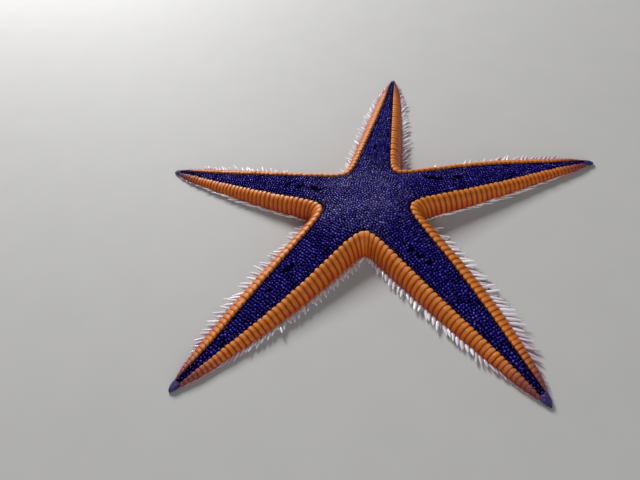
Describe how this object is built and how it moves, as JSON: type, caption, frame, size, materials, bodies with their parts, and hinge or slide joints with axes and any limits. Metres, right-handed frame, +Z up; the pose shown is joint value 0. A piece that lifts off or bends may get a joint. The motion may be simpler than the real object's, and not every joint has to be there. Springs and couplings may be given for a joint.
{
  "type": "royal starfish",
  "caption": "Royal starfish lying flat: a low domed disc, tapering arms with a violet upper field, and raised rows of orange marginal plates fringed with pale spines.",
  "frame": {"origin": "middle of the footprint's bounding box, on the floor plane that the underside rests on", "axes": "+Z up from the underside to the upper surface; +Y roughly along the back arm; +X to the right, along the widest extent"},
  "size_m": [0.1704, 0.1641, 0.0113],
  "materials": {
    "skin": "damp matte, grained with tiny table-shaped ossicles",
    "marginal_plates": "damp satin lime plates",
    "spines": "satin, slightly translucent",
    "end_plates": "damp satin",
    "sieve_plate": "matte, finely furrowed",
    "oral_plates": "matte lime plates",
    "tube_feet": "moist and smooth"
  },
  "bodies": {
    "root": {"disc": "skin", "madreporite": "sieve_plate", "arm_back": "skin", "margin_back_left": "marginal_plates", "margin_back_right": "marginal_plates", "tip_back": "end_plates", "jaw_left_of_back": "oral_plates", "arm_left": "skin", "margin_left_left": "marginal_plates", "margin_left_right": "marginal_plates", "tip_left": "end_plates", "jaw_left_of_left": "oral_plates", "arm_front_left": "skin", "margin_front_left_left": "marginal_plates", "margin_front_left_right": "marginal_plates", "tip_front_left": "end_plates", "jaw_left_of_front_left": "oral_plates", "arm_front_right": "skin", "margin_front_right_left": "marginal_plates", "margin_front_right_right": "marginal_plates", "tip_front_right": "end_plates", "jaw_left_of_front_right": "oral_plates", "arm_right": "skin", "margin_right_left": "marginal_plates", "margin_right_right": "marginal_plates", "tip_right": "end_plates", "jaw_left_of_right": "oral_plates"}
  },
  "joints": []
}
